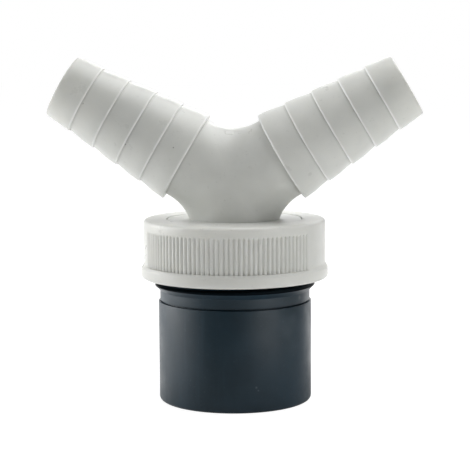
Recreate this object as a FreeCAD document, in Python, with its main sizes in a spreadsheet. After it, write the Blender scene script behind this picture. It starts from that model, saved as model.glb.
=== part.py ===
"""Double appliance drain connector.

Two appliance drain hoses push onto the barbed arms of a moulded wye. A ribbed union nut clamps
the wye, over a flat washer, on a threaded spigot that is glued into a 40 mm waste fitting.

The part stands on the open end of the spigot: the origin is the centre of that end, +Z is up and
the two arms spread along X. Lengths are in millimetres and angles in degrees.
"""
import FreeCAD, Part
import Sketcher
import os
from FreeCAD import Placement, Rotation, Vector

# Driving sizes: name, value, what it is
SIZES = [
    ("spigot_dia", 40.0, "outside of the plain end that is glued into the waste fitting"),
    ("spigot_wall", 3.5, "wall of the plain end"),
    ("spigot_length", 26.3, "plain end, up to the small step"),
    ("spigot_step", 0.4, "depth of that step"),
    ("spigot_neck_length", 4.4, "run-out between the step and the thread"),
    ("spigot_edge", 1.0, "rounding of the plain end's outer edge"),
    ("thread_proud", 0.6, "pitch surface of the male thread above the run-out"),
    ("thread_length", 10.0, "height of the thread, drawn as a plain band at that surface"),
    ("thread_lead_in", 0.9, "bevel at the top of the thread"),
    ("thread_clearance", 0.15, "radial play between the nut and the thread"),
    ("washer_inset", 1.0, "edge of the flat washer inside the thread"),
    ("washer_width", 3.2, "width of the flat washer's ring"),
    ("washer_thickness", 2.0, "height of the flat washer"),
    ("flange_clearance", 1.35, "radial play between the wye's flange and the nut's bore"),
    ("flange_thickness", 2.5, "height of the flange that the nut pulls down"),
    ("flange_lead_in", 0.6, "bevel that lets the flange snap through the nut"),
    ("shoulder_clearance", 0.35, "radial play between the shoulder and the nut's hole"),
    ("shoulder_inset", 0.2, "drop of the shoulder below the top of the nut"),
    ("shoulder_wall", 2.6, "wall over the hollow under the shoulder"),
    ("hollow_wall", 2.85, "wall round that hollow"),
    ("branch_dia", 22.0, "outside of the neck and of the two arms before the barbs"),
    ("branch_rise", 9.1, "centre of the wye above its shoulder"),
    ("arm_angle", 30.0, "slope of the arms above the horizontal"),
    ("crotch_radius", 12.5, "blend between the two arms"),
    ("underarm_radius", 12.0, "blend between each arm and the neck"),
    ("barb_count", 5, "barbs on each arm"),
    ("plain_run", 0.68, "plain arm between the blend and the last barb"),
    ("barb_pitch", 7.45, "length of one barb"),
    ("barb_proud", 1.45, "big end of the last barb above the plain arm"),
    ("barb_growth", 0.76, "growth of the radius from one barb to the next"),
    ("barb_step", 0.45, "drop from one barb to the next, on the radius"),
    ("tip_edge", 0.5, "rounding of the open end's outer edge"),
    ("tip_wall", 1.9, "wall of the open end"),
    ("neck_wall", 3.0, "wall of the neck"),
    ("nut_wall", 3.35, "wall of the nut from its bore to the top of its ribs"),
    ("nut_height", 15.3, "whole height of the nut"),
    ("nut_lip", 2.5, "thickness of the top of the nut"),
    ("lip_overlap", 1.3, "hold of that lip on the flange"),
    ("nut_edge", 0.8, "rounding of the nut's outer edges"),
    ("nut_lead_in", 0.8, "bevel at the mouth of the nut"),
    ("skirt_proud", 0.7, "band round the mouth of the nut, above its ribs"),
    ("skirt_height", 2.7, "straight height of that band"),
    ("skirt_flare", 1.1, "height of the slope above that band"),
    ("rib_overrun", 0.4, "reach of the grooves down that slope"),
    ("rib_head", 2.5, "plain band between the grooves and the top of the nut"),
    ("rib_pitch", 3.0, "angle from one groove to the next"),
    ("groove_count", 41, "grooves in one group"),
    ("group_count", 2, "groups of ribs, with a plain patch between them"),
    ("group_start", 24.0, "angle from +X to the first groove"),
    ("groove_width", 0.84, "width of a groove at the surface"),
    ("groove_depth", 0.42, "depth of a groove"),
]

# Sizes worked out from the driving ones: name, formula
DERIVED = [
    ("spigot_bore", "spigot_dia - 2 * spigot_wall"),
    ("spigot_neck_dia", "spigot_dia - 2 * spigot_step"),
    ("thread_dia", "spigot_neck_dia + 2 * thread_proud"),
    ("thread_foot", "spigot_length + spigot_neck_length"),
    ("spigot_top", "thread_foot + thread_length"),
    ("washer_dia", "thread_dia - 2 * washer_inset"),
    ("washer_bore", "washer_dia - 2 * washer_width"),
    ("washer_top", "spigot_top + washer_thickness"),
    ("flange_top", "washer_top + flange_thickness"),
    ("nut_top", "flange_top + nut_lip"),
    ("nut_foot", "nut_top - nut_height"),
    ("nut_bore", "thread_dia + 2 * thread_clearance"),
    ("nut_dia", "nut_bore + 2 * nut_wall"),
    ("skirt_dia", "nut_dia + 2 * skirt_proud"),
    ("rib_foot", "skirt_height + skirt_flare - rib_overrun"),
    ("rib_length", "nut_height - rib_foot - rib_head"),
    ("flange_dia", "nut_bore - 2 * flange_clearance"),
    ("nut_hole", "flange_dia - 2 * lip_overlap"),
    ("shoulder_dia", "nut_hole - 2 * shoulder_clearance"),
    ("shoulder_top", "nut_top - shoulder_inset"),
    ("hollow_dia", "shoulder_dia - 2 * hollow_wall"),
    ("hollow_top", "shoulder_top - shoulder_wall"),
    ("neck_bore", "branch_dia - 2 * neck_wall"),
    ("wye_centre", "shoulder_top + branch_rise"),
    ("arm_lean", "90 - arm_angle"),
    ("blend_end", "(branch_dia / 2 + crotch_radius) * tan(arm_angle)"),
    ("barb_root", "blend_end + plain_run"),
    ("barb_root_dia", "branch_dia + 2 * barb_proud"),
    ("barb_tip_dia", "barb_root_dia - 2 * barb_count * barb_growth"),
    ("arm_bore", "barb_tip_dia - 2 * tip_wall"),
    ("branch_length", "barb_root + barb_pitch"),
    ("arm_length", "barb_root + barb_count * barb_pitch"),
]

NAMES = {row[0] for row in SIZES + DERIVED}
TOLERANCE = 1e-4

document = FreeCAD.newDocument("DrainConnector")
sheet = document.addObject("Spreadsheet::Sheet", "Sizes")


def fill_sheet():
    """Write the driving and the derived sizes, each under its own alias."""
    rows = [(name, str(value), note) for name, value, note in SIZES]
    rows += [(name, "=" + formula, "derived") for name, formula in DERIVED]
    for row, (name, content, note) in enumerate(rows, start=1):
        sheet.set(f"A{row}", note)
        sheet.setAlias(f"B{row}", name)
        sheet.set(f"B{row}", content)
    document.recompute()


def size(name):
    """Return the number in the cell with this alias."""
    return float(sheet.get(name))


def worked_out(thing, formula):
    """Return the number that a formula of aliases gives."""
    return float(thing.evalExpression(sized(formula)))


def bind(thing, **formulas):
    """Tie properties of an object to formulas of the sheet's aliases."""
    for name, formula in formulas.items():
        thing.setExpression(name, sized(formula))


def sized(formula):
    """Turn a formula of bare aliases into one that reads the sheet."""
    words = formula.replace("(", "( ").replace(")", " )").split()
    return " ".join("Sizes." + word if word in NAMES else word for word in words)


def new_body(label):
    """Add a body whose label names its file."""
    body = document.addObject("PartDesign::Body", label)
    body.Label = label
    body.Placement = Placement()
    return body


def origin_feature(body, role):
    """Find one of the body's own origin planes or axes."""
    return next(item for item in body.Origin.OriginFeatures if item.Role == role)


def add_outline(body, name, plane, corners):
    """Add a closed straight-sided sketch, with corners given as formulas of across and up."""
    sketch = body.newObject("Sketcher::SketchObject", name)
    sketch.AttachmentSupport = (origin_feature(body, plane), [""])
    sketch.MapMode = "FlatFace"
    points = [
        Vector(worked_out(sketch, across), worked_out(sketch, up), 0) for across, up in corners
    ]
    count = len(points)
    for index in range(count):
        sketch.addGeometry(Part.LineSegment(points[index], points[(index + 1) % count]), False)
    for index in range(count):
        sketch.addConstraint(Sketcher.Constraint("Coincident", index, 2, (index + 1) % count, 1))
    for index, (point, (across, up)) in enumerate(zip(points, corners)):
        for kind, value, formula in (("DistanceX", point.x, across), ("DistanceY", point.y, up)):
            number = sketch.addConstraint(Sketcher.Constraint(kind, -1, 1, index, 1, value))
            sketch.setExpression(f"Constraints[{number}]", sized(formula))
    return sketch


def add_turned(body, name, corners):
    """Add a solid turned about the sketch's upright axis and return its feature and sketch."""
    sketch = add_outline(body, name + "Outline", "XZ_Plane", corners)
    turned = body.newObject("PartDesign::Revolution", name)
    turned.Profile = sketch
    turned.ReferenceAxis = (sketch, ["V_Axis"])
    turned.Angle = 360
    sketch.Visibility = False
    return turned, sketch


def edge_names(feature, wanted):
    """Name the edges of a feature whose curve passes a test."""
    return [
        f"Edge{number}"
        for number, edge in enumerate(feature.Shape.Edges, start=1)
        if not edge.Degenerated and wanted(edge.Curve)
    ]


def same(first, second):
    """Tell whether two lengths are equal, within the model's tolerance."""
    return abs(first - second) < TOLERANCE


def circle_edges(feature, radius, height):
    """Name the edges that are circles of this radius about Z at this height."""
    return edge_names(feature, lambda curve: isinstance(curve, Part.Circle)
                      and same(curve.Radius, radius) and same(curve.Center.z, height))


def add_rounding(body, name, base, edges, radius):
    """Round the named edges of a feature, with the radius tied to the sheet."""
    rounding = body.newObject("PartDesign::Fillet", name)
    rounding.Base = (base, edges)
    bind(rounding, Radius=radius)
    return rounding


def make_spigot():
    """Glued end, step, run-out and threaded band, bored right through."""
    body = new_body("threaded_spigot")
    turned, _ = add_turned(body, "SpigotTurned", [
        ("spigot_bore / 2", "0"),
        ("spigot_dia / 2", "0"),
        ("spigot_dia / 2", "spigot_length"),
        ("spigot_neck_dia / 2", "spigot_length"),
        ("spigot_neck_dia / 2", "thread_foot"),
        ("thread_dia / 2", "thread_foot"),
        ("thread_dia / 2", "spigot_top - thread_lead_in"),
        ("thread_dia / 2 - thread_lead_in", "spigot_top"),
        ("spigot_bore / 2", "spigot_top"),
    ])
    document.recompute()
    edges = circle_edges(turned, size("spigot_dia") / 2, 0)
    add_rounding(body, "SpigotEdge", turned, edges, "spigot_edge")
    return body


def make_washer():
    """Flat washer between the spigot's rim and the wye's flange."""
    body = new_body("sealing_washer")
    add_turned(body, "WasherTurned", [
        ("washer_bore / 2", "spigot_top"),
        ("washer_dia / 2", "spigot_top"),
        ("washer_dia / 2", "washer_top"),
        ("washer_bore / 2", "washer_top"),
    ])
    return body


def make_nut():
    """Union nut with a top lip, a band at its mouth and two groups of fine ribs."""
    body = new_body("union_nut")
    turned, _ = add_turned(body, "NutTurned", [
        ("nut_bore / 2 + nut_lead_in", "nut_foot"),
        ("skirt_dia / 2", "nut_foot"),
        ("skirt_dia / 2", "nut_foot + skirt_height"),
        ("nut_dia / 2", "nut_foot + skirt_height + skirt_flare"),
        ("nut_dia / 2", "nut_top"),
        ("nut_hole / 2", "nut_top"),
        ("nut_hole / 2", "flange_top"),
        ("nut_bore / 2", "flange_top"),
        ("nut_bore / 2", "nut_foot + nut_lead_in"),
    ])
    document.recompute()
    edges = circle_edges(turned, size("skirt_dia") / 2, size("nut_foot"))
    edges += circle_edges(turned, size("nut_dia") / 2, size("nut_top"))
    rounding = add_rounding(body, "NutEdges", turned, edges, "nut_edge")
    document.recompute()
    add_grooves(body, rounding)
    return body


def add_grooves(body, solid):
    """Cut one vee groove up the nut and repeat it round each group."""
    reach = "( groove_depth + skirt_dia / 2 - nut_dia / 2 )"
    flank = f"groove_width / 2 / groove_depth * {reach}"
    outline = add_outline(body, "GrooveOutline", "XY_Plane", [
        ("nut_dia / 2 - groove_depth", "0"),
        (f"nut_dia / 2 - groove_depth + {reach}", f"0 - {flank}"),
        (f"nut_dia / 2 - groove_depth + {reach}", flank),
    ])
    outline.AttachmentOffset = Placement(
        Vector(0, 0, size("nut_foot") + size("rib_foot")),
        Rotation(Vector(0, 0, 1), size("group_start")),
    )
    outline.setExpression("AttachmentOffset.Base.z", sized("nut_foot + rib_foot"))
    outline.setExpression("AttachmentOffset.Rotation.Angle", sized("group_start"))
    groove = body.newObject("PartDesign::Pocket", "Groove")
    groove.Profile = outline
    groove.Reversed = True
    bind(groove, Length="rib_length")
    document.recompute()
    repeat = body.newObject("PartDesign::MultiTransform", "Ribs")
    repeat.Originals = [groove]
    body.Tip = repeat
    along = body.newObject("PartDesign::PolarPattern", "RibGroup")
    along.Axis = (origin_feature(body, "Z_Axis"), [""])
    bind(along, Angle="rib_pitch * ( groove_count - 1 )", Occurrences="groove_count")
    around = body.newObject("PartDesign::PolarPattern", "RibGroups")
    around.Axis = (origin_feature(body, "Z_Axis"), [""])
    around.Angle = 360
    bind(around, Occurrences="group_count")
    repeat.Transformations = [along, around]
    body.Tip = repeat


def add_branch(body, kind, name, radius, length, lean, axis):
    """Add or cut a cylinder that starts at the wye's centre and leans from +Z about an axis."""
    branch = body.newObject(kind, name)
    branch.AttachmentSupport = (origin_feature(body, "XY_Plane"), [""])
    branch.MapMode = "FlatFace"
    branch.AttachmentOffset = Placement(
        Vector(0, 0, size("wye_centre")), Rotation(axis, worked_out(branch, lean))
    )
    branch.setExpression("AttachmentOffset.Base.z", sized("wye_centre"))
    branch.setExpression("AttachmentOffset.Rotation.Angle", sized(lean))
    bind(branch, Radius=radius, Height=length)
    return branch


def seam_edges(feature, between_arms):
    """Name the seams where two branches meet: ellipses about the wye's centre."""
    centre = Vector(0, 0, size("wye_centre"))
    return edge_names(feature, lambda curve: isinstance(curve, Part.Ellipse)
                      and same(curve.Center.distanceToPoint(centre), 0)
                      and same(abs(curve.Axis.x), 1) == between_arms)


def barb_corners():
    """Outline of one barbed arm, from its open end to the big end of the last barb."""
    corners = [
        ("arm_bore / 2", "arm_length"),
        ("barb_tip_dia / 2", "arm_length"),
    ]
    count = round(size("barb_count"))
    for barb in range(1, count + 1):
        big = f"barb_tip_dia / 2 + {barb} * barb_growth"
        along = f"arm_length - {barb} * barb_pitch"
        corners.append((big, along))
        if barb < count:
            corners.append((f"{big} - barb_step", along))
    corners.append(("arm_bore / 2", "barb_root"))
    return corners


def tip_edges(feature):
    """Name the outer edges of the arms' open ends."""
    radius, reach = size("barb_tip_dia") / 2, size("arm_length")
    centre = Vector(0, 0, size("wye_centre"))
    return edge_names(feature, lambda curve: isinstance(curve, Part.Circle)
                      and same(curve.Radius, radius)
                      and same(curve.Center.distanceToPoint(centre), reach))


def make_tail():
    """Wye with three equal branches, blended seams, two barbed arms and a flange."""
    body = new_body("twin_hose_tail")
    to_right, to_left = Vector(0, 1, 0), Vector(0, -1, 0)
    add = "PartDesign::AdditiveCylinder"
    add_branch(body, add, "Neck", "branch_dia / 2", "branch_length", "180", to_right)
    add_branch(body, add, "RightBranch", "branch_dia / 2", "branch_length", "arm_lean", to_right)
    branches = add_branch(
        body, add, "LeftBranch", "branch_dia / 2", "branch_length", "arm_lean", to_left)
    document.recompute()
    crotch = add_rounding(
        body, "CrotchBlend", branches, seam_edges(branches, True), "crotch_radius")
    document.recompute()
    underarms = add_rounding(
        body, "UnderarmBlends", crotch, seam_edges(crotch, False), "underarm_radius")
    document.recompute()
    trim_neck(body)
    add_arms(body)
    add_flange(body)
    cut = "PartDesign::SubtractiveCylinder"
    add_branch(body, cut, "NeckBore", "neck_bore / 2", "branch_length", "180", to_right)
    add_branch(body, cut, "RightBore", "arm_bore / 2", "arm_length", "arm_lean", to_right)
    bored = add_branch(body, cut, "LeftBore", "arm_bore / 2", "arm_length", "arm_lean", to_left)
    document.recompute()
    add_rounding(body, "TipEdges", bored, tip_edges(bored), "tip_edge")
    return body


def trim_neck(body):
    """Cut the neck off at the roof of the hollow under the shoulder."""
    waste = body.newObject("PartDesign::SubtractiveCylinder", "NeckTrim")
    waste.AttachmentSupport = (origin_feature(body, "XY_Plane"), [""])
    waste.MapMode = "FlatFace"
    bind(waste, Radius="skirt_dia", Height="hollow_top")


def add_arms(body):
    """Turn the right arm's barbs about the arm's own axis and mirror them to the left."""
    right, outline = add_turned(body, "RightBarbs", barb_corners())
    outline.AttachmentOffset = Placement(
        Vector(0, size("wye_centre"), 0), Rotation(Vector(0, 0, -1), size("arm_lean"))
    )
    outline.setExpression("AttachmentOffset.Base.y", sized("wye_centre"))
    outline.setExpression("AttachmentOffset.Rotation.Angle", sized("arm_lean"))
    document.recompute()
    left = body.newObject("PartDesign::Mirrored", "LeftBarbs")
    left.Originals = [right]
    left.MirrorPlane = (origin_feature(body, "YZ_Plane"), [""])
    body.Tip = left
    document.recompute()


def add_flange(body):
    """Add the shoulder in the nut's hole and the flange under the nut's lip."""
    add_turned(body, "Flange", [
        ("hollow_dia / 2", "washer_top"),
        ("flange_dia / 2 - flange_lead_in", "washer_top"),
        ("flange_dia / 2", "washer_top + flange_lead_in"),
        ("flange_dia / 2", "flange_top"),
        ("shoulder_dia / 2", "flange_top"),
        ("shoulder_dia / 2", "shoulder_top"),
        ("neck_bore / 2", "shoulder_top"),
        ("neck_bore / 2", "hollow_top"),
        ("hollow_dia / 2", "hollow_top"),
    ])
    document.recompute()


def check(bodies):
    """Stop if any object failed or any solid is broken."""
    for thing in document.Objects:
        if {"Invalid", "Error"} & set(thing.State):
            raise RuntimeError(f"{thing.Name} failed: {thing.State}")
    for body in bodies:
        shape = body.Shape
        if shape.isNull() or not shape.isValid() or len(shape.Solids) != 1:
            raise RuntimeError(f"{body.Label} is not one valid solid")


def write(bodies):
    """Write each piece to its own file and print its size."""
    os.makedirs("parts", exist_ok=True)
    for body in bodies:
        body.Shape.exportStep(f"parts/{body.Label}.step")
        box = body.Shape.BoundBox
        print(f"{body.Label}: {body.Shape.Volume:.0f} mm3, "
              f"{box.XLength:.2f} x {box.YLength:.2f} x {box.ZLength:.2f} mm, "
              f"z {box.ZMin:.2f} to {box.ZMax:.2f}")


fill_sheet()
pieces = [make_spigot(), make_washer(), make_nut(), make_tail()]
document.recompute()
check(pieces)
write(pieces)
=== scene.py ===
"""Dressed model of a double appliance drain connector.

A barbed wye takes two appliance drain hoses. A ribbed union nut pulls its flange down, over a
rubber washer, on a threaded spigot. Each surface is worked out with numpy, in millimetres, as a
grid of two parameters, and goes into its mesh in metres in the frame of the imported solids.
"""
import logging
import math
from dataclasses import dataclass
from enum import Enum

import bmesh
import bpy
import numpy as np
from mathutils import Matrix, Vector


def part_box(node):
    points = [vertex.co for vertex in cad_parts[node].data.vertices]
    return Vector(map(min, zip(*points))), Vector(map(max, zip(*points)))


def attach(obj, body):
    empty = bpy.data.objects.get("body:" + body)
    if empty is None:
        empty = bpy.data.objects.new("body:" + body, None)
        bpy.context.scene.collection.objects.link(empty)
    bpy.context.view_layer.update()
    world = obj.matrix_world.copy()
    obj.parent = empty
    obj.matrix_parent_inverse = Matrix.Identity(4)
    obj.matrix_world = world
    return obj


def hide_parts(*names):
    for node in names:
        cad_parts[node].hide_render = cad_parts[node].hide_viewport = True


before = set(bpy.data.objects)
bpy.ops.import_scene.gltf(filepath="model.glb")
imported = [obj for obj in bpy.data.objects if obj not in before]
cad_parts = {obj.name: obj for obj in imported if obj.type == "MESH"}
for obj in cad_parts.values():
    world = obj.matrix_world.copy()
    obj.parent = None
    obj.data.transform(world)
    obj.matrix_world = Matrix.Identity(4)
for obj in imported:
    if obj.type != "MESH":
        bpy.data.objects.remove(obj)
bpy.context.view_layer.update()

LOG = logging.getLogger("drain_connector")
METRE = 0.001
COLUMNS = 192
Y_AXIS = np.array([0.0, 1.0, 0.0])


class Body(Enum):
    """The bodies that the pieces ride on."""

    SPIGOT = "spigot"
    WASHER = "washer"
    NUT = "nut"
    TAIL = "tail"


class Slot(Enum):
    """The material slots of the record."""

    PVC = "grey_pvc"
    RUBBER = "black_rubber"
    WHITE = "white_plastic"


class Side(Enum):
    """The two arms, by the sign of their X."""

    RIGHT = 1.0
    LEFT = -1.0


def ring_angles(count: int) -> np.ndarray:
    """Even angles round a full turn, from -90 degrees.

    Args:
        count: how many columns go round.

    Returns:
        The angles in radians.
    """
    return -math.pi / 2 + 2 * math.pi * np.arange(count) / count


def smooth_step(value: np.ndarray, low: float, high: float) -> np.ndarray:
    """Rise from 0 at low to 1 at high as 3 t squared less 2 t cubed, t the share of the way.

    Args:
        value: the numbers to grade.
        low: where the rise starts.
        high: where it ends.

    Returns:
        The grades, from 0 to 1.
    """
    share = np.clip((value - low) / (high - low), 0.0, 1.0)
    return share * share * (3.0 - 2.0 * share)


def rounded(corners: list[tuple[float, float, float]], steps: int = 4) -> np.ndarray:
    """Trace an outline whose corners are arcs.

    At each corner the arc starts one tangent length before it, which is the radius times the
    tangent of half the turn. A point of the arc is its start plus the radius times (sine of the
    swept angle along the first side, plus one less its cosine towards the arc's centre).

    Args:
        corners: across, up and rounding radius of each corner, in millimetres.
        steps: straight pieces in each arc.

    Returns:
        The outline's points, two numbers each.
    """
    table = np.array(corners, float)
    points, radius = table[:, :2], table[:, 2]
    sides = np.diff(points, axis=0)
    sides /= np.linalg.norm(sides, axis=1, keepdims=True)
    before = np.vstack([sides[:1], sides])
    after = np.vstack([sides, sides[-1:]])
    turn = np.arccos(np.clip(np.sum(before * after, axis=1), -1.0, 1.0))
    start = points - before * (radius * np.tan(turn / 2))[:, None]
    flat = np.sin(turn) < 1e-6
    inward = (after - before * np.cos(turn)[:, None]) / np.where(flat, 1.0, np.sin(turn))[:, None]
    swept = turn[:, None] * np.linspace(0.0, 1.0, steps + 1)
    arcs = (start[:, None, :] + (radius[:, None] * np.sin(swept))[..., None] * before[:, None, :]
            + (radius[:, None] * (1 - np.cos(swept)))[..., None] * inward[:, None, :])
    outline = arcs.reshape(-1, 2)
    kept = np.append(True, np.linalg.norm(np.diff(outline, axis=0), axis=1) > 1e-5)
    return outline[kept]


def turned(profile: np.ndarray, angles: np.ndarray) -> np.ndarray:
    """Turn a profile about Z: x is radius times cosine, y is radius times sine, z is height.

    Args:
        profile: radius and height of each row.
        angles: the columns' angles.

    Returns:
        A grid of points, rows by columns.
    """
    radius, height = profile[:, 0, None], profile[:, 1, None]
    return polar(np.broadcast_to(radius, (len(profile), len(angles))), height, angles)


def polar(radius: np.ndarray, height: np.ndarray, angles: np.ndarray) -> np.ndarray:
    """Place points at a radius about Z, as above, where each point has its own radius.

    Args:
        radius: rows by columns.
        height: one height a row, or rows by columns.
        angles: the columns' angles.

    Returns:
        A grid of points, rows by columns.
    """
    return np.stack([radius * np.cos(angles), radius * np.sin(angles),
                     np.broadcast_to(height, radius.shape)], axis=-1)


def between(first: np.ndarray, last: np.ndarray, rows: int) -> np.ndarray:
    """Fill in rows on straight lines: first times (1 - t) plus last times t, both ends in.

    Args:
        first: the first row of points.
        last: the last row of points.
        rows: how many rows in all.

    Returns:
        A grid of points, rows by columns.
    """
    share = np.linspace(0.0, 1.0, rows)[:, None, None]
    return first * (1 - share) + last * share


class Skin:
    """Gathers grids of points and their faces, and makes them one closed mesh."""

    def __init__(self) -> None:
        """Start with no points and no faces."""
        self.points: list[np.ndarray] = []
        self.faces: list[np.ndarray] = []
        self.count = 0

    def add_points(self, grid: np.ndarray) -> np.ndarray:
        """Add a grid of points.

        Args:
            grid: rows by columns by three, in millimetres.

        Returns:
            The points' numbers, rows by columns.
        """
        numbers = self.count + np.arange(grid[..., 0].size).reshape(grid.shape[:-1])
        self.points.append(grid.reshape(-1, 3))
        self.count += numbers.size
        return numbers

    def add_grid(self, grid: np.ndarray) -> np.ndarray:
        """Add a grid whose columns go round, with a four-sided face between neighbours.

        Args:
            grid: rows by columns by three, in millimetres.

        Returns:
            The points' numbers, rows by columns.
        """
        numbers = self.add_points(grid)
        onward = np.roll(numbers, -1, axis=1)
        faces = np.stack([numbers[:-1], onward[:-1], onward[1:], numbers[1:]], axis=-1)
        self.faces.append(faces.reshape(-1, 4))
        return numbers

    def add_step_down(self, fine: np.ndarray, coarse: np.ndarray) -> None:
        """Join a ring to one with fewer points by flat faces, each over one coarse side.

        Args:
            fine: the finer ring's numbers.
            coarse: the coarser ring's numbers, a whole share as many.
        """
        ratio = len(fine) // len(coarse)
        start = ratio * np.arange(len(coarse))[:, None] + np.arange(ratio + 1)
        run = fine[start % len(fine)]
        self.faces.append(np.column_stack([run, np.roll(coarse, -1), coarse]))

    def build(self, name: str, sharp: float = 32.0) -> bpy.types.Object:
        """Make the object, with doubles merged and faces pointing out.

        Args:
            name: the piece's name.
            sharp: the angle in degrees past which an edge stays crisp.

        Returns:
            The new object, at the origin.
        """
        mesh = bpy.data.meshes.new(name)
        points = np.concatenate(self.points) * METRE
        sizes = np.concatenate([np.full(len(part), part.shape[1]) for part in self.faces])
        corners = np.concatenate([part.ravel() for part in self.faces])
        mesh.vertices.add(len(points))
        mesh.vertices.foreach_set("co", points.astype(np.float32).ravel())
        mesh.loops.add(len(corners))
        mesh.loops.foreach_set("vertex_index", corners.astype(np.int32))
        mesh.polygons.add(len(sizes))
        starts = np.concatenate([[0], np.cumsum(sizes)[:-1]])
        mesh.polygons.foreach_set("loop_start", starts.astype(np.int32))
        mesh.update(calc_edges=True)
        work = bmesh.new()
        work.from_mesh(mesh)
        bmesh.ops.remove_doubles(work, verts=work.verts, dist=2e-7)
        bmesh.ops.recalc_face_normals(work, faces=work.faces)
        work.to_mesh(mesh)
        open_edges = sum(1 for edge in work.edges if len(edge.link_faces) != 2)
        work.free()
        mesh.polygons.foreach_set("use_smooth", np.ones(len(mesh.polygons), bool))
        mesh.set_sharp_from_angle(angle=math.radians(sharp))
        piece = bpy.data.objects.new(name, mesh)
        bpy.context.scene.collection.objects.link(piece)
        LOG.info("%s: %d faces, %d edges not shared by two", name, len(mesh.polygons), open_edges)
        return piece


class Blend(Enum):
    """What a Mix node mixes: its data type, its first input of that type and its output."""

    NUMBER = ("FLOAT", 2, 0)
    COLOUR = ("RGBA", 6, 2)


@dataclass(frozen=True)
class Fade:
    """A soft change: as a number goes from low to high, the result goes from start to end."""

    low: float
    high: float
    start: float = 0.0
    end: float = 1.0


@dataclass(frozen=True)
class Pattern:
    """Soft patches of noise: waves to the metre, fade and octaves.

    Finer is the share that each finer octave keeps, and stretch scales it along X, Y and Z.
    """

    scale: float
    fade: Fade
    detail: float = 3.0
    finer: float = 0.5
    stretch: tuple[float, float, float] = (1.0, 1.0, 1.0)


@dataclass(frozen=True)
class Ripple:
    """An uneven skin: waves to the metre, height in millimetres and octaves."""

    scale: float
    height: float
    detail: float = 2.0


@dataclass(frozen=True)
class Mark:
    """A small round stain, or a soft patch of painted highlight: where it is, how far it reaches,
    in millimetres, and how strong it is.
    """

    centre: tuple[float, float, float]
    radius: float
    strength: float = 0.8


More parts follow.
